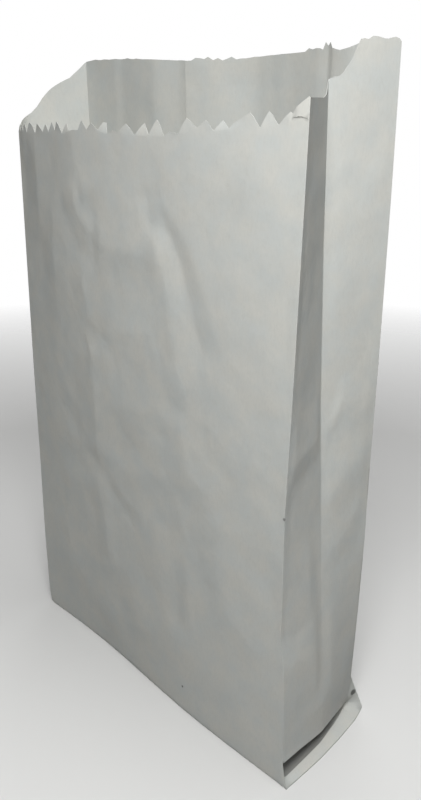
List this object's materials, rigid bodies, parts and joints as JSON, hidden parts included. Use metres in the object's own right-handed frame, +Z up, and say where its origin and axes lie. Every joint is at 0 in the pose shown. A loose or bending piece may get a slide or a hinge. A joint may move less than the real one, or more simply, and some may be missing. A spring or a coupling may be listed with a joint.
{
  "type": "paper bag",
  "caption": "Tall gusseted paper bag for takeaway food, open and standing empty, with a toothed edge cut lower on the front than on the back.",
  "frame": {"origin": "middle of the footprint, on the surface that the bag stands on", "axes": "+Z up to the mouth, -Y towards the wide front panel with the lower edge, +X towards the folded-in gusset"},
  "size_m": [0.252, 0.0814, 0.3729],
  "materials": {
    "paper": "matt off-white paper, slightly mottled, softly creased"
  },
  "bodies": {
    "root": {"bag": "paper"}
  },
  "joints": []
}
